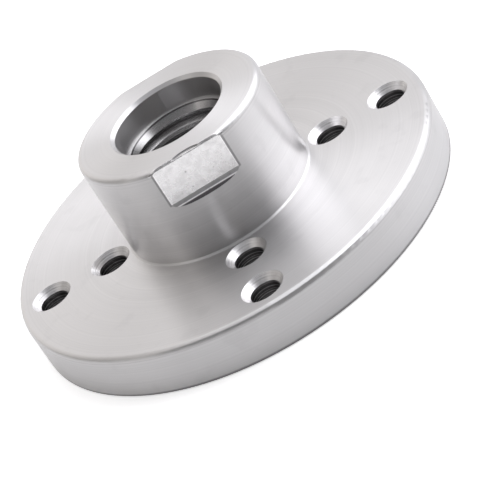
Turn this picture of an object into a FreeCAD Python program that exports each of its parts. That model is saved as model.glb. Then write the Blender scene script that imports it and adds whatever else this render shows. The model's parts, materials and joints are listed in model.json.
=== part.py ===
import FreeCAD, Part
import math
import os

os.makedirs("parts", exist_ok=True)

# A screw-on faceplate for a wood lathe, turned in one piece from steel bar.
# The origin is the centre of the working face, and +Z runs along the spindle bore to the hub's nose.
# All lengths are in millimetres and all angles in degrees.

# The plate
plate_diameter = 101.6
plate_thickness = 10.9
rim_round = 1.2
rim_bevel = 0.35

# The hub
hub_diameter = 44.2
hub_length = 23.8
nose_round = 1.2
hub_root_bevel = 0.4

# The spindle thread, a right-hand Unified thread of one inch diameter
thread_diameter = 25.4
thread_pitch = 3.175
thread_flank_angle = 60.0
thread_start_height = 2.36
root_clearance = 0.04
face_chamfer_margin = 0.6

# The register, a plain counterbore in the nose that centres on the spindle's collar
register_clearance = 0.2
register_depth = 6.1
mouth_chamfer = 0.8

# The tapered lead-in between the register and the thread
lead_in_width = 1.05
lead_in_angle = 60.0

# The screw holes, countersunk from the hub side, in pairs on an inner circle that is placed from
# the hub's side and an outer circle that is placed from the rim
spokes = 4
hub_to_inner_circle = 5.65
rim_to_outer_circle = 7.95
screw_hole_diameter = 6.8
countersink_diameter = 9.7
countersink_angle = 90.0

# The layout grooves turned in the working face along the two hole circles
groove_width = 0.9
groove_angle = 90.0

# The two wrench flats milled across the nose
flat_depth = 1.6
flat_length = 10.4
flat_corner_radius = 1.4
flat_edge_chamfer = 0.45
front_flat_angle = -90.0

# The nick on the front flat's upper edge
nick_length = 6.1
nick_reach = 0.65
nick_depth = 0.3
nick_offset = 0.1

# How far a cutting tool runs past the metal, how many turns early the threading tool starts,
# and the number of equal sectors that the bore is cut in
overrun = 1.0
early_turns = 2
bore_sectors = 4

plate_radius = plate_diameter / 2
hub_radius = hub_diameter / 2
nose_height = plate_thickness + hub_length
inner_circle = hub_radius + hub_to_inner_circle
outer_circle = plate_radius - rim_to_outer_circle
thread_radius = thread_diameter / 2
# The bore is the usual tapping size: the thread's diameter less one pitch
bore_radius = (thread_diameter - thread_pitch) / 2
# The Unified form has a flat of an eighth of the pitch at the groove's bottom
root_flat = thread_pitch / 8
register_radius = thread_radius + register_clearance
register_floor = nose_height - register_depth
lead_in_radius = bore_radius + lead_in_width
lead_in_bottom = register_floor - lead_in_width / math.tan(math.radians(lead_in_angle / 2))
face_chamfer_radius = thread_radius + face_chamfer_margin
face_chamfer_top = face_chamfer_radius - bore_radius
flat_distance = hub_radius - flat_depth
flat_bottom = nose_height - flat_length

UP = FreeCAD.Vector(0, 0, 1)
ORIGIN = FreeCAD.Vector(0, 0, 0)


def ring_point(radius, height):
    """A point of the turned profile, in the XZ plane."""
    return FreeCAD.Vector(radius, 0, height)


def outline(points):
    """A closed wire of straight lines through the points."""
    return Part.makePolygon(points + points[:1])


def turned(wire, start=0, sweep=360):
    """The solid that a lathe makes from a closed profile in the XZ plane."""
    solid = Part.Face(wire).revolve(ORIGIN, UP, sweep)
    solid.rotate(ORIGIN, UP, start)
    return solid


def arcs(centre_radius, centre_height, radius, start, end):
    """A round corner of the profile, as two equal arcs that meet smoothly."""

    def on_circle(angle):
        turn = math.radians(angle)
        return ring_point(centre_radius + radius * math.cos(turn), centre_height + radius * math.sin(turn))

    quarter = (end - start) / 4
    corner = [on_circle(start + step * quarter) for step in range(5)]
    return [Part.Arc(*corner[:3]).toShape(), Part.Arc(*corner[2:]).toShape()]


def line(start, end):
    """A straight edge of the profile."""
    return Part.LineSegment(start, end).toShape()


def blank():
    """The outside of the faceplate: plate, bevelled root, hub and rounded nose, still solid inside."""
    rim_corner = plate_radius - rim_round
    nose_corner = hub_radius - nose_round
    root = ring_point(hub_radius + hub_root_bevel, plate_thickness)
    hub_foot = ring_point(hub_radius, plate_thickness + hub_root_bevel)
    edges = [
        line(ring_point(0, 0), ring_point(plate_radius - rim_bevel, 0)),
        line(ring_point(plate_radius - rim_bevel, 0), ring_point(plate_radius, rim_bevel)),
        line(ring_point(plate_radius, rim_bevel), ring_point(plate_radius, plate_thickness - rim_round)),
        *arcs(rim_corner, plate_thickness - rim_round, rim_round, 0, 90),
        line(ring_point(rim_corner, plate_thickness), root),
        line(root, hub_foot),
        line(hub_foot, ring_point(hub_radius, nose_height - nose_round)),
        *arcs(nose_corner, nose_height - nose_round, nose_round, 0, 90),
        line(ring_point(nose_corner, nose_height), ring_point(0, nose_height)),
        line(ring_point(0, nose_height), ring_point(0, 0)),
    ]
    return turned(Part.Wire(edges))


def spindle_bore(sector, sectors):
    """One sector of the core bored out for the spindle: face chamfer, bore, lead-in, register and mouth."""
    top = nose_height + overrun
    points = [
        ring_point(0, -overrun),
        ring_point(face_chamfer_radius + overrun, -overrun),
        ring_point(bore_radius, face_chamfer_top),
        ring_point(bore_radius, lead_in_bottom),
        ring_point(lead_in_radius, register_floor),
        ring_point(register_radius, register_floor),
        ring_point(register_radius, nose_height - mouth_chamfer),
        ring_point(register_radius + mouth_chamfer + overrun, top),
        ring_point(0, top),
    ]
    sweep = 360 / sectors
    return turned(outline(points), sector * sweep, sweep)


def thread_turn():
    """One turn of the groove between the thread's crests: it starts on the X axis and climbs one pitch."""
    slope = math.tan(math.radians(thread_flank_angle / 2))
    root_radius = thread_radius + root_clearance
    inner_radius = bore_radius - root_flat
    root_half = root_flat / 2 - root_clearance * slope
    inner_half = root_half + (root_radius - inner_radius) * slope
    profile = outline(
        [
            ring_point(inner_radius, -inner_half),
            ring_point(root_radius, -root_half),
            ring_point(root_radius, root_half),
            ring_point(inner_radius, inner_half),
        ]
    )
    sweep = Part.BRepOffsetAPI.MakePipeShell(Part.makeHelix(thread_pitch, thread_pitch, bore_radius))
    sweep.setBiNormalMode(UP)
    sweep.add(profile)
    sweep.build()
    sweep.makeSolid()
    return sweep.shape()


def thread_turns():
    """The whole groove, turn by turn, from below the working face to where the lead-in begins."""
    first = thread_turn()
    lowest = thread_start_height - early_turns * thread_pitch
    count = math.ceil((lead_in_bottom - lowest) / thread_pitch)
    turns = []
    for index in range(count):
        turn = first.copy()
        turn.translate(FreeCAD.Vector(0, 0, lowest + index * thread_pitch))
        turns.append(turn)
    return turns


def screw_hole(circle, angle):
    """A drilled hole on a circle of that radius, countersunk from the hub side."""
    hole = screw_hole_diameter / 2
    sink = countersink_diameter / 2
    slope = math.tan(math.radians(countersink_angle / 2))
    sink_bottom = plate_thickness - (sink - hole) / slope
    points = [
        ring_point(0, -overrun),
        ring_point(hole, -overrun),
        ring_point(hole, sink_bottom),
        ring_point(sink + overrun * slope, plate_thickness + overrun),
        ring_point(0, plate_thickness + overrun),
    ]
    cutter = turned(outline(points))
    cutter.translate(FreeCAD.Vector(circle, 0, 0))
    cutter.rotate(ORIGIN, UP, angle)
    return cutter


def layout_groove(circle):
    """A shallow V turned in the working face along a hole circle of that radius."""
    half = groove_width / 2
    slope = math.tan(math.radians(groove_angle / 2))
    points = [
        ring_point(circle - half - overrun * slope, -overrun),
        ring_point(circle + half + overrun * slope, -overrun),
        ring_point(circle, half / slope),
    ]
    return turned(outline(points))


def wrench_flat(angle):
    """The cut of one flat: its face, the radius at its foot and the bevel on its upper edge."""
    outside = hub_radius + overrun
    corner = flat_distance + flat_corner_radius
    top = nose_height + overrun
    face_foot = ring_point(flat_distance, flat_bottom + flat_corner_radius)
    bevel_foot = ring_point(flat_distance, nose_height - flat_edge_chamfer)
    bevel_top = ring_point(flat_distance - flat_edge_chamfer - overrun, top)
    outer_top = ring_point(outside, top)
    outer_foot = ring_point(outside, flat_bottom)
    edges = [
        line(outer_foot, ring_point(corner, flat_bottom)),
        *arcs(corner, flat_bottom + flat_corner_radius, flat_corner_radius, 270, 180),
        line(face_foot, bevel_foot),
        line(bevel_foot, bevel_top),
        line(bevel_top, outer_top),
        line(outer_top, outer_foot),
    ]
    face = Part.Face(Part.Wire(edges))
    cutter = face.extrude(FreeCAD.Vector(0, hub_diameter, 0))
    cutter.translate(FreeCAD.Vector(0, -hub_radius, 0))
    cutter.rotate(ORIGIN, UP, angle)
    return cutter


def nick(angle):
    """The thin crescent that a slipped cutter left in the nose beside one flat."""
    radius = nick_length**2 / (8 * nick_reach) + nick_reach / 2
    edge = flat_distance - flat_edge_chamfer
    cutter = Part.makeCylinder(radius, nick_depth + overrun)
    cutter.translate(FreeCAD.Vector(edge - nick_reach + radius, nick_offset, nose_height - nick_depth))
    cutter.rotate(ORIGIN, UP, angle)
    return cutter


def faceplate():
    """The whole part, in the order that it's machined."""
    body = blank()
    cuts = [spindle_bore(sector, bore_sectors) for sector in range(bore_sectors)]
    cuts += [layout_groove(circle) for circle in (inner_circle, outer_circle)]
    for spoke in range(spokes):
        angle = spoke * 360 / spokes
        cuts.append(screw_hole(inner_circle, angle))
        cuts.append(screw_hole(outer_circle, angle))
    cuts += [wrench_flat(front_flat_angle), wrench_flat(front_flat_angle + 180), nick(front_flat_angle)]
    cuts += thread_turns()
    for cut in cuts:
        body = body.cut(cut)
    return body


part = faceplate()
print("valid", part.isValid(), "solids", len(part.Solids), "volume", round(part.Volume, 1))
part.Solids[0].exportStep("parts/faceplate.step")
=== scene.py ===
import json
import math

import bpy
from mathutils import Matrix, Vector


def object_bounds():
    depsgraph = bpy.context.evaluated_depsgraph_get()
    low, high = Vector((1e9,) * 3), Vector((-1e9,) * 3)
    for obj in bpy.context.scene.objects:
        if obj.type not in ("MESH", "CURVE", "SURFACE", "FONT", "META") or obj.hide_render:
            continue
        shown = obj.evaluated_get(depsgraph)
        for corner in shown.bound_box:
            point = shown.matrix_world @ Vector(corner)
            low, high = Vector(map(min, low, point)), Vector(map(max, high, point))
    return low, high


bl_info = {
    "name": "Lathe faceplate",
    "version": (1, 0, 0),
    "blender": (4, 5, 0),
    "location": "View3D > Sidebar > Faceplate",
    "description": "Gives the faceplate its turned steel finish and stands it on a pale studio floor",
    "category": "Object",
}

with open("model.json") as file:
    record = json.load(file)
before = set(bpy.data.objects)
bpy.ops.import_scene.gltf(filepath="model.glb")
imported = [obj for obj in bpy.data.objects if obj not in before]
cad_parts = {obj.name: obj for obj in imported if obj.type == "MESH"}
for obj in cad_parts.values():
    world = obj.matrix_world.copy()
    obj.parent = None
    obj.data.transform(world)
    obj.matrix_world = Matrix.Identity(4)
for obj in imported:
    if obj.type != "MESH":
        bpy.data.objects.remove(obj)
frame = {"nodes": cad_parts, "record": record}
cad_low, cad_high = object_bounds()

MM = 0.001
mounts = {mount["name"]: mount for mount in frame["record"]["mounts"]}
nose_height = cad_high.z
plate_radius = cad_high.x
inner_circle = mounts["inner_screw_circle"]["dims"]["pcd_mm"] / 2 * MM
outer_circle = mounts["outer_screw_circle"]["dims"]["pcd_mm"] / 2 * MM
bore_radius = mounts["spindle_thread"]["dims"]["r_mm"] * MM
register_radius = mounts["spindle_register"]["dims"]["r_mm"] * MM
flat_distance = mounts["back_wrench_flat"]["pos_m"][1]

# Sizes of the machined details that the finish follows
countersink_radius = 4.85 * MM
flat_foot = 24.3 * MM
register_floor = 28.6 * MM
thread_top = 26.8 * MM
plate_top = 10.9 * MM
hub_radius = 22.1 * MM
lead_in_radius = 12.16 * MM
foot_radius = 1.4 * MM
nose_round = 1.2 * MM
rim_round = 1.2 * MM
flat_half_width = math.sqrt(hub_radius**2 - flat_distance**2)

# Sizes of the marks on the steel
broad_ring_width = 2.6 * MM
hole_ring_width = 0.42 * MM
mottle_size = 1.6 * MM
cloud_size = 11 * MM
smudge_size = 6 * MM
pit_spacing = 2.4 * MM
cut_mark_depth = 0.05 * MM

# Places of the fine lines: the painted highlight above the flat's foot, the shoulder above the register's
# floor and the painted dark line below it, and the line below a round
foot_line_height = 0.42 * MM
shoulder_middle = 0.15 * MM
shoulder_line_drop = 0.22 * MM
tool_line_drop = 0.1 * MM

# The share of a full turn that sets the reflections' spread across the turning rings
quarter_turn = 0.25

# The floor lies just under the working face, so that the two faces never coincide
FLOOR_GAP = 0.05 * MM


class Signal:
    """A number or a vector on its way through a node tree, so that shader maths reads as plain Python."""

    def __init__(self, graph, socket):
        self.graph = graph
        self.socket = socket

    def maths(self, operation, *values):
        return self.graph.node("ShaderNodeMath", {"operation": operation}, dict(enumerate(values)))

    def __add__(self, other):
        return self.maths("ADD", self, other)

    def __radd__(self, other):
        return self.maths("ADD", other, self)

    def __sub__(self, other):
        return self.maths("SUBTRACT", self, other)

    def __rsub__(self, other):
        return self.maths("SUBTRACT", other, self)

    def __mul__(self, other):
        return self.maths("MULTIPLY", self, other)

    def __rmul__(self, other):
        return self.maths("MULTIPLY", other, self)

    def __abs__(self):
        return self.maths("ABSOLUTE", self)

    def root(self):
        return self.maths("SQRT", self)

    def lower(self, other):
        return self.maths("MINIMUM", self, other)

    def higher(self, other):
        return self.maths("MAXIMUM", self, other)


class Graph:
    """The node tree of one material or of the world."""

    def __init__(self, owner):
        owner.use_nodes = True
        self.tree = owner.node_tree
        self.tree.nodes.clear()

    def node(self, kind, settings=None, sockets=None, output=0):
        """Adds a node, makes its settings, fills its sockets with values or links, and gives an output."""
        made = self.tree.nodes.new(kind)
        for name, value in (settings or {}).items():
            setattr(made, name, value)
        for name, value in (sockets or {}).items():
            if isinstance(value, Signal):
                self.tree.links.new(value.socket, made.inputs[name])
            else:
                made.inputs[name].default_value = value
        return Signal(self, made.outputs[output] if made.outputs else None)

    def parts(self, vector):
        """The three numbers of a vector."""
        split = self.node("ShaderNodeSeparateXYZ", sockets={"Vector": vector})
        return [Signal(self, socket) for socket in split.socket.node.outputs]

    def fade(self, value, start, end):
        """0 up to start and 1 from end on, with a smooth rise between them."""
        sockets = {"Value": value, "From Min": start, "From Max": end}
        return self.node("ShaderNodeMapRange", {"interpolation_type": "SMOOTHSTEP"}, sockets)

    def rise(self, value, edge, start, end):
        """0 to 1 between two distances from an edge, in millimetres and negative before it."""
        return self.fade(value, edge + start * MM, edge + end * MM)

    def fall(self, value, edge, start, end):
        """1 to 0 between two distances from an edge, in millimetres and negative before it."""
        return 1 - self.rise(value, edge, start, end)

    def stripe(self, value, middle, even, faded):
        """1 near the middle, up to the first distance in millimetres, and 0 from the second on."""
        return self.fall(abs(value - middle), 0, even, faded)

    def mix(self, factor, first, second):
        """The first colour at factor 0 and the second at 1."""
        # A Mix node has like-named sockets for each kind of value, so they are given by number
        sockets = {0: factor, 6: first, 7: second}
        return self.node("ShaderNodeMix", {"data_type": "RGBA"}, sockets, 2)

    def noise(self, place, size, detail, dimensions="3D"):
        """Smooth noise from 0 to 1 with features of the given size."""
        socket = "W" if dimensions == "1D" else "Vector"
        sockets = {socket: place, "Scale": 1 / size, "Detail": detail}
        return self.node("ShaderNodeTexNoise", {"noise_dimensions": dimensions}, sockets)

    def near_spots(self, place, size):
        """The distance to the nearest of many scattered spots, as a share of their spacing."""
        return self.node("ShaderNodeTexVoronoi", {}, {"Vector": place, "Scale": 1 / size})

    def bump(self, height, depth, normal):
        """The normal, changed to follow a height of the given depth."""
        sockets = {"Height": height, "Distance": depth, "Strength": 1.0, "Normal": normal}
        return self.node("ShaderNodeBump", {}, sockets)


class FaceplateFinish(bpy.types.PropertyGroup):
    """What a user would change about the steel."""

    steel: bpy.props.FloatVectorProperty(
        name="Steel",
        description="Colour of the bright turned steel",
        subtype="COLOR",
        size=4,
        min=0.0,
        max=1.0,
        default=(0.663, 0.655, 0.656, 1.0),
    )
    cut_steel: bpy.props.FloatVectorProperty(
        name="Cut steel",
        description="Colour of the milled flats and the drilled holes",
        subtype="COLOR",
        size=4,
        min=0.0,
        max=1.0,
        default=(0.86, 0.85, 0.85, 1.0),
    )
    # Colour that the steel is darkened towards, by oil in the thread and by painted shade in the bore,
    # holes and corners
    grime_and_shade: bpy.props.FloatVectorProperty(
        name="Grime",
        description="Colour of the oil film at the bottom of the thread and in the holes",
        subtype="COLOR",
        size=4,
        min=0.0,
        max=1.0,
        default=(0.15, 0.145, 0.15, 1.0),
    )
    turned_roughness: bpy.props.FloatProperty(
        name="Turned roughness",
        description="Roughness of the turned faces",
        default=0.34,
        min=0.0,
        max=1.0,
    )
    cut_roughness: bpy.props.FloatProperty(
        name="Cut roughness",
        description="Roughness of the milled and drilled faces",
        default=0.2,
        min=0.0,
        max=1.0,
    )
    turned_spread: bpy.props.FloatProperty(
        name="Turned spread",
        description="How far the fine rings spread a reflection across themselves",
        default=0.9,
        min=0.0,
        max=1.0,
    )
    ring_width: bpy.props.FloatProperty(
        name="Ring width",
        description="Width of the finest rings that the turning tool leaves",
        unit="LENGTH",
        subtype="DISTANCE",
        default=0.45 * MM,
    )
    ring_depth: bpy.props.FloatProperty(
        name="Ring depth",
        description="Depth of the turning rings",
        unit="LENGTH",
        subtype="DISTANCE",
        default=0.004 * MM,
    )
    edge_break: bpy.props.FloatProperty(
        name="Edge break",
        description="Radius of the rubbed edges",
        unit="LENGTH",
        subtype="DISTANCE",
        default=0.18 * MM,
    )


class FaceplateStudio(bpy.types.PropertyGroup):
    """What a user would change about the studio."""

    camera_aim: bpy.props.FloatVectorProperty(
        name="Camera aim",
        description="Point on the floor that the camera looks at",
        subtype="TRANSLATION",
        size=3,
        default=(-0.1 * MM, -8.5 * MM, 0.0),
    )
    camera_distance: bpy.props.FloatProperty(
        name="Camera distance",
        description="Distance from the camera to its aim",
        unit="LENGTH",
        subtype="DISTANCE",
        default=502.9 * MM,
    )
    camera_azimuth: bpy.props.FloatProperty(
        name="Camera azimuth",
        description="Turn of the camera to the right of straight in front",
        subtype="ANGLE",
        default=math.radians(3.333),
    )
    camera_elevation: bpy.props.FloatProperty(
        name="Camera elevation",
        description="Angle of the camera above the floor",
        subtype="ANGLE",
        default=math.radians(29.681),
    )
    camera_roll: bpy.props.FloatProperty(
        name="Camera roll",
        description="Lean of the camera to the right",
        subtype="ANGLE",
        default=math.radians(32.588),
    )
    camera_lens: bpy.props.FloatProperty(
        name="Camera lens",
        description="Focal length on a 36 mm sensor",
        subtype="DISTANCE_CAMERA",
        default=166.36,
    )
    sky_level: bpy.props.FloatProperty(
        name="Sky level",
        description="Brightness of the plain studio surroundings",
        default=0.43,
        min=0.0,
    )
    dark_level: bpy.props.FloatProperty(
        name="Darkest level",
        description="Brightness that is left in the middle of the dark screen",
        default=0.13,
        min=0.0,
    )
    left_tint: bpy.props.FloatVectorProperty(
        name="Left tint",
        description="Colour of the light from the left",
        subtype="COLOR",
        size=4,
        min=0.0,
        soft_max=1.0,
        default=(1.025, 0.988, 0.96, 1.0),
    )
    right_tint: bpy.props.FloatVectorProperty(
        name="Right tint",
        description="Colour of the light from the right and the front",
        subtype="COLOR",
        size=4,
        min=0.0,
        soft_max=1.0,
        default=(0.988, 0.988, 1.022, 1.0),
    )
    floor_size: bpy.props.FloatProperty(
        name="Floor size",
        description="Width of the studio floor",
        unit="LENGTH",
        subtype="DISTANCE",
        default=4.0,
    )
    floor_color: bpy.props.FloatVectorProperty(
        name="Floor colour",
        description="Colour of the pale floor",
        subtype="COLOR",
        size=4,
        min=0.0,
        max=1.0,
        default=(0.85, 0.85, 0.85, 1.0),
    )
    floor_glow: bpy.props.FloatProperty(
        name="Floor glow",
        description="Light that the floor adds for the camera",
        default=0.6,
        min=0.0,
    )
    mirrored_glow: bpy.props.FloatProperty(
        name="Mirrored glow",
        description="Light that the floor adds in reflections and through glass",
        default=0.12,
        min=0.0,
    )


# The soft boxes and the dark screen of the studio. Each has the azimuth of its middle, from +X towards +Y,
# its elevation and the half-angles of its even part and its faded edge, in degrees, and then how much it
# changes the brightness.
STUDIO_PATCHES = (
    {"azimuth": 15, "elevation": 36, "even": 25, "edge": 44, "change": 1.8},
    {"azimuth": 90, "elevation": 24, "even": 28, "edge": 56, "change": 0.57},
    {"azimuth": 36, "elevation": 62, "even": 12, "edge": 34, "change": 0.42},
    {"azimuth": 90, "elevation": 76, "even": 12, "edge": 34, "change": 0.68},
    {"azimuth": 202, "elevation": 45, "even": 8, "edge": 30, "change": 0.27},
    {"azimuth": -92, "elevation": 8, "even": 50, "edge": 64, "change": -1.3},
    {"azimuth": -95, "elevation": 68, "even": 8, "edge": 24, "change": 0.3},
)

# The side whose light has the left tint, laid out like a patch
LEFT_SIDE = {"azimuth": 160, "elevation": 0, "even": 26, "edge": 101.5}


def compass(azimuth, elevation):
    """The unit vector at an azimuth from +X towards +Y and an elevation, in degrees."""
    turn, rise = math.radians(azimuth), math.radians(elevation)
    return Vector((math.cos(turn) * math.cos(rise), math.sin(turn) * math.cos(rise), math.sin(rise)))


class MachinedFaces:
    """Masks from 0 to 1 that say where each machined face lies, where painted shade and painted highlights
    go, and the marks that the tools left there.
    """

    def __init__(self, graph, finish):
        self.graph = graph
        self.place = graph.node("ShaderNodeTexCoord", output="Object")
        self.x, self.y, self.z = graph.parts(self.place)
        self.radius = (self.x * self.x + self.y * self.y).root()
        self.find_screw_holes()
        self.find_wrench_flats()
        self.find_bore()
        self.find_edges()
        self.add_tool_marks(finish)

    def find_screw_holes(self):
        """The drilled and countersunk faces; the holes lie on the X and Y axes, on two circles."""
        graph = self.graph
        far = abs(self.x).higher(abs(self.y))
        near = abs(self.x).lower(abs(self.y))
        from_inner = far - inner_circle
        from_outer = far - outer_circle
        self.from_screw = ((from_inner * from_inner).lower(from_outer * from_outer) + near * near).root()
        in_hole = graph.fall(self.from_screw, countersink_radius, -0.04, 0.04)
        # The working face keeps its turned finish round the holes
        self.drilled = in_hole * graph.rise(self.z, cad_low.z, 0.02, 0.05)
        # The deep part of each hole, where painted shade is darkest; the drilled walls get lighter painted
        # shade too
        self.deep_hole = self.drilled * graph.fall(self.z, plate_top, -2.2, -1.2)

    def find_wrench_flats(self):
        """The milled faces, the strip at the foot of each with its painted shade and painted highlight
        line, its pits, and the painted dark line on the hub's edge beside it.
        """
        graph = self.graph
        across = abs(self.y)
        within_hub = graph.fall(self.radius, hub_radius, -0.06, -0.02)
        below_nose = graph.fall(self.z, nose_height, -0.04, -0.01)
        past_flat = graph.rise(across, flat_distance, -0.5, -0.45)
        above_foot = graph.rise(self.z, flat_foot, -0.06, -0.02)
        self.milled = past_flat * within_hub * below_nose * above_foot
        # A painted highlight along the flat's side edges
        self.flat_sides = graph.rise(abs(self.x), flat_half_width, -0.5, -0.15) * self.milled
        self.pits = self.milled * (1 - graph.fade(graph.near_spots(self.place, pit_spacing), 0.05, 0.13))
        # The strip at the flat's foot is rougher and gets painted shade, darkest at its bottom
        self.foot = self.milled * graph.fall(self.z, flat_foot + foot_radius, -0.1, 0)
        self.foot_bottom = self.milled * graph.fall(self.z, flat_foot, 0.26, 0.38)
        # A thin painted highlight line above the flat's foot
        self.foot_line = graph.stripe(self.z, flat_foot + foot_line_height, 0.05, 0.14) * self.foot
        # A thin painted dark line on the hub just beside each flat
        beside = graph.rise(across, flat_distance, -0.2, -0.1) * graph.fall(across, flat_distance, 0.1, 0.3)
        beside = beside * graph.rise(self.z, flat_foot, 0.8, 1.2) * below_nose
        self.beside_flat = beside * (1 - within_hub)

    def find_bore(self):
        """The spindle bore, with its thread grooves, its register and the shoulder under that."""
        graph = self.graph
        self.in_bore = graph.fall(self.radius, register_radius, 0.02, 0.1)
        threaded = graph.fall(self.z, thread_top, -0.3, 0)
        # The bottom of the thread grooves, darkened by oil and by painted shade
        self.groove = graph.rise(self.radius, bore_radius, 1.05, 1.5) * threaded * self.in_bore
        # The register's wall, which gets painted shade
        self.register = graph.rise(self.z, register_floor, 0.25, 0.35) * self.in_bore
        outside_lead_in = graph.rise(self.radius, lead_in_radius, 0, 0.1) * self.in_bore
        on_shoulder = graph.stripe(self.z, register_floor + shoulder_middle, 0.15, 0.2)
        # A painted dark line just under the register's floor
        under_shoulder = graph.stripe(self.z, register_floor - shoulder_line_drop, 0.1, 0.22)
        self.shoulder = on_shoulder * outside_lead_in
        self.shoulder_line = under_shoulder * self.in_bore

    def find_edges(self):
        """The rim's foot, which is given painted shade, and the line where the tool stopped under each
        rounded edge.
        """
        graph = self.graph
        rim = graph.rise(self.radius, plate_radius, -0.6, -0.4)
        # Painted shade along the bottom of the rim, standing for the reflected shadow on the floor
        self.rim_foot = rim * graph.fall(self.z, cad_low.z, 0.45, 0.95)
        under_nose = graph.stripe(self.z, nose_height - nose_round - tool_line_drop, 0.05, 0.2)
        under_rim = graph.stripe(self.z, plate_top - rim_round - tool_line_drop, 0.05, 0.2)
        self.tool_line = under_nose.higher(under_rim) * graph.rise(self.radius, hub_radius, -0.1, 0)

    def add_tool_marks(self, finish):
        """Turning rings, which are calmer in the bore, then drilling rings and mottling."""
        graph = self.graph
        travel = self.radius + self.z
        self.fine_rings = graph.noise(travel, finish.ring_width, 3.0, "1D")
        self.broad_rings = graph.noise(travel, broad_ring_width, 2.0, "1D")
        self.hole_rings = graph.noise(self.from_screw + self.z, hole_ring_width, 3.0, "1D")
        self.mottle = graph.noise(self.place, mottle_size, 4.0)
        self.cloud = graph.noise(self.place, cloud_size, 2.0)
        self.calm = 1 - self.in_bore * 0.85


def strongest(*masks):
    """The highest of several masks at each place."""
    result = masks[0]
    for mask in masks[1:]:
        result = result.higher(mask)
    return result


def grime_and_shade_amount(faces):
    """How far the steel is darkened towards the grime colour: painted shade in the register, the holes, the
    corners and along fine lines, oil with painted shade in the thread grooves, and real pits, tool lines
    and smudges; 0 where it's plain and 1 at the darkest.
    """
    graph = faces.graph
    smudges = graph.fade(graph.noise(faces.place, smudge_size, 3.0), 0.58, 0.7)
    hole_streaks = 0.85 - graph.fade(faces.hole_rings, 0.48, 0.62) * 0.65
    # Painted shade in the register, the holes, the rim's foot, the flats' feet and the dark line beside
    # each flat; oil and painted shade in the thread grooves
    in_corners = strongest(
        faces.groove * 0.6,
        faces.register * 0.25,
        faces.drilled * 0.2,
        faces.deep_hole * hole_streaks,
        faces.rim_foot * 0.75,
        faces.foot * 0.5,
        faces.foot_bottom,
        faces.beside_flat * 0.6,
    )
    # The painted highlight line above each flat's foot is kept clear; the painted dark line under the
    # register's floor, the real pits, tool lines and smudges are added
    return strongest(
        in_corners - faces.foot_line,
        faces.shoulder_line * 0.9,
        faces.pits * 0.6,
        faces.tool_line * 0.15,
        smudges * 0.05,
    )


def tone(colour, factor):
    """A colour made darker or lighter, and never lighter than white."""
    return [min(channel * factor, 1.0) for channel in colour[:3]] + [1.0]


def turned_steel(faces, grime_and_shade, rubbed, finish):
    """The turned faces, whose fine rings spread each reflection across themselves."""
    graph = faces.graph
    fine, broad, cloud = faces.fine_rings - 0.5, faces.broad_rings - 0.5, faces.cloud - 0.5
    shade = (fine * 0.3 + broad * 0.2) * faces.calm + cloud * 0.1 + 0.5
    colour = graph.mix(shade, tone(finish.steel, 0.8), tone(finish.steel, 1.2))
    roughness = fine * faces.calm * 0.1 + cloud * 0.06 + finish.turned_roughness
    # The thread is smoother than the outside, and the shoulder rougher
    roughness = roughness - (faces.in_bore - faces.register) * 0.1 + faces.shoulder * 0.4
    rings = (faces.fine_rings * 0.6 + faces.broad_rings * 0.9) * faces.calm
    sockets = {
        "Base Color": graph.mix(grime_and_shade, colour, list(finish.grime_and_shade)),
        "Metallic": 1.0,
        "Roughness": roughness,
        "Anisotropic": finish.turned_spread,
        "Anisotropic Rotation": quarter_turn,
        "Tangent": graph.node("ShaderNodeTangent", {"direction_type": "RADIAL", "axis": "Z"}),
        "Normal": graph.bump(rings, finish.ring_depth, rubbed),
    }
    return graph.node("ShaderNodeBsdfPrincipled", {}, sockets)


def cut_steel(faces, grime_and_shade, rubbed, finish):
    """The milled and drilled faces, mottled by the cutter and ringed by the drill."""
    graph = faces.graph
    mottle, hole_rings = faces.mottle - 0.5, faces.hole_rings - 0.5
    shade = mottle * 1.8 + hole_rings * faces.drilled * 0.8 + 0.5
    # Painted highlights along the flat's side edges and on the line above its foot
    shade = (shade + (faces.flat_sides + faces.foot_line) * 0.5).lower(1).higher(0)
    colour = graph.mix(shade, tone(finish.cut_steel, 0.84), tone(finish.cut_steel, 1.16))
    roughness = mottle * 0.1 + faces.drilled * 0.12 + faces.milled * 0.07 + faces.foot * 0.4
    height = faces.hole_rings * faces.drilled + faces.mottle * faces.milled * 0.5
    sockets = {
        "Base Color": graph.mix(grime_and_shade, colour, list(finish.grime_and_shade)),
        "Metallic": 1.0,
        "Roughness": roughness + finish.cut_roughness,
        "Normal": graph.bump(height, cut_mark_depth, rubbed),
    }
    return graph.node("ShaderNodeBsdfPrincipled", {}, sockets)


def steel_material(finish):
    """Steel turned on a lathe, with milled flats and drilled holes, a little oil in the thread, and painted
    shade and highlights in the bore, holes and corners and along fine lines.
    """
    material = bpy.data.materials.new("turned_steel_finish")
    graph = Graph(material)
    faces = MachinedFaces(graph, finish)
    # How far oil, real marks and painted shade darken the steel
    grime_and_shade = grime_and_shade_amount(faces)
    rubbed = graph.node("ShaderNodeBevel", {"samples": 4}, {"Radius": finish.edge_break})
    turned = turned_steel(faces, grime_and_shade, rubbed, finish)
    cut = cut_steel(faces, grime_and_shade, rubbed, finish)
    is_cut = faces.drilled.higher(faces.milled)
    surface = graph.node("ShaderNodeMixShader", {}, {0: is_cut, 1: turned, 2: cut})
    graph.node("ShaderNodeOutputMaterial", {}, {"Surface": surface})
    return material


class FACEPLATE_OT_finish_steel(bpy.types.Operator):
    """Gives the faceplate its turned, milled and drilled steel"""

    bl_idname = "faceplate.finish_steel"
    bl_label = "Finish the steel"

    def execute(self, context):
        plate = frame["nodes"]["faceplate"]
        plate.material_slots[0].material = steel_material(context.scene.faceplate_finish)
        return {"FINISHED"}


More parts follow.
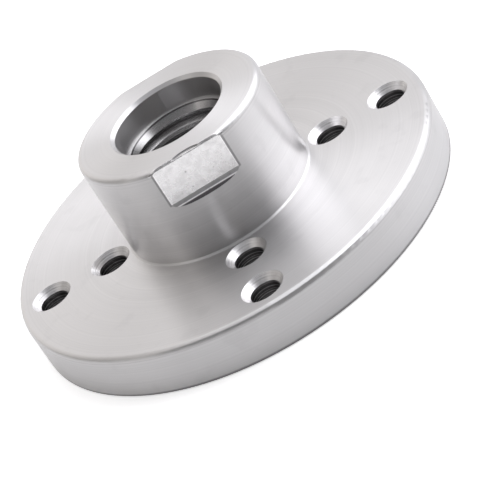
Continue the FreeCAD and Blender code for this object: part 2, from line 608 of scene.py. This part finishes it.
def patch_mask(graph, direction, patch):
    """1 in the even part of a patch of the studio and 0 outside its faded edge."""
    sockets = {0: direction, 1: compass(patch["azimuth"], patch["elevation"])}
    nearness = graph.node("ShaderNodeVectorMath", {"operation": "DOT_PRODUCT"}, sockets, "Value")
    edge, even = (math.cos(math.radians(patch[side])) for side in ("edge", "even"))
    return graph.fade(nearness, edge, even)


def set_world(studio):
    """Plain soft surroundings with a bright side, a dark side and white behind the object."""
    world = bpy.data.worlds.new("studio_surroundings")
    bpy.context.scene.world = world
    graph = Graph(world)
    direction = graph.node("ShaderNodeTexCoord", output="Generated")
    level = studio.sky_level
    for patch in STUDIO_PATCHES:
        level = patch_mask(graph, direction, patch) * patch["change"] + level
    leftward = patch_mask(graph, direction, LEFT_SIDE)
    tint = graph.mix(leftward, list(studio.right_tint), list(studio.left_tint))
    strength = level.higher(studio.dark_level)
    light = graph.node("ShaderNodeBackground", {}, {"Color": tint, "Strength": strength})
    white = graph.node("ShaderNodeBackground", {}, {"Color": (1.0, 1.0, 1.0, 1.0), "Strength": 1.0})
    seen = graph.node("ShaderNodeLightPath", output="Is Camera Ray")
    surface = graph.node("ShaderNodeMixShader", {}, {0: seen, 1: light, 2: white})
    graph.node("ShaderNodeOutputWorld", {}, {"Surface": surface})


def floor_material(studio):
    """A pale floor that is white to the camera and in reflections, and still takes the shadow."""
    material = bpy.data.materials.new("studio_floor")
    graph = Graph(material)
    matt = graph.node("ShaderNodeBsdfDiffuse", {}, {"Color": list(studio.floor_color)})
    camera = graph.node("ShaderNodeLightPath", output="Is Camera Ray")
    glossy = graph.node("ShaderNodeLightPath", output="Is Glossy Ray")
    through = graph.node("ShaderNodeLightPath", output="Is Transmission Ray")
    mirrored = glossy.higher(through)
    strength = camera * studio.floor_glow + mirrored * studio.mirrored_glow
    glow = graph.node("ShaderNodeEmission", {}, {"Strength": strength})
    surface = graph.node("ShaderNodeAddShader", {}, {0: matt, 1: glow})
    graph.node("ShaderNodeOutputMaterial", {}, {"Surface": surface})
    return material


def lay_floor(studio):
    """The floor under the faceplate's working face."""
    half = studio.floor_size / 2
    corners = [(-half, -half, 0), (half, -half, 0), (half, half, 0), (-half, half, 0)]
    mesh = bpy.data.meshes.new("studio_floor")
    mesh.from_pydata(corners, [], [(0, 1, 2, 3)])
    floor = bpy.data.objects.new("studio_floor", mesh)
    floor.location.z = cad_low.z - FLOOR_GAP
    mesh.materials.append(floor_material(studio))
    bpy.context.scene.collection.objects.link(floor)


def place_camera(studio):
    """The camera, held with the lean that the picture has."""
    back = compass(math.degrees(studio.camera_azimuth) - 90, math.degrees(studio.camera_elevation))
    camera = bpy.data.cameras.new("studio_camera")
    camera.sensor_width = 36.0
    camera.lens = studio.camera_lens
    camera.clip_start = 10 * MM
    camera.clip_end = 10.0
    holder = bpy.data.objects.new("studio_camera", camera)
    upright = (-back).to_track_quat("-Z", "Y").to_matrix().to_4x4()
    lean = Matrix.Rotation(-studio.camera_roll, 4, "Z")
    stand = Matrix.Translation(Vector(studio.camera_aim) + back * studio.camera_distance)
    holder.matrix_world = stand @ upright @ lean
    bpy.context.scene.collection.objects.link(holder)
    bpy.context.scene.camera = holder


class FACEPLATE_OT_set_stage(bpy.types.Operator):
    """Lays the floor, sets the light and places the camera"""

    bl_idname = "faceplate.set_stage"
    bl_label = "Set the stage"

    def execute(self, context):
        studio = context.scene.faceplate_studio
        context.scene.view_settings.view_transform = "Standard"
        set_world(studio)
        lay_floor(studio)
        place_camera(studio)
        return {"FINISHED"}


class FACEPLATE_PT_sidebar(bpy.types.Panel):
    """The sidebar page with the faceplate's settings and steps"""

    bl_label = "Lathe faceplate"
    bl_idname = "FACEPLATE_PT_sidebar"
    bl_space_type = "VIEW_3D"
    bl_region_type = "UI"
    bl_category = "Faceplate"

    def draw(self, context):
        for settings in (context.scene.faceplate_finish, context.scene.faceplate_studio):
            box = self.layout.box()
            for name in settings.__annotations__:
                box.prop(settings, name)
        for step in STEPS:
            self.layout.operator(step.bl_idname)


STEPS = (FACEPLATE_OT_finish_steel, FACEPLATE_OT_set_stage)
CLASSES = (FaceplateFinish, FaceplateStudio, *STEPS, FACEPLATE_PT_sidebar)


def register():
    for kind in CLASSES:
        bpy.utils.register_class(kind)
    bpy.types.Scene.faceplate_finish = bpy.props.PointerProperty(type=FaceplateFinish)
    bpy.types.Scene.faceplate_studio = bpy.props.PointerProperty(type=FaceplateStudio)


def unregister():
    del bpy.types.Scene.faceplate_studio
    del bpy.types.Scene.faceplate_finish
    for kind in reversed(CLASSES):
        bpy.utils.unregister_class(kind)


def main():
    register()
    bpy.ops.faceplate.finish_steel()
    bpy.ops.faceplate.set_stage()


if __name__ == "__main__":
    main()
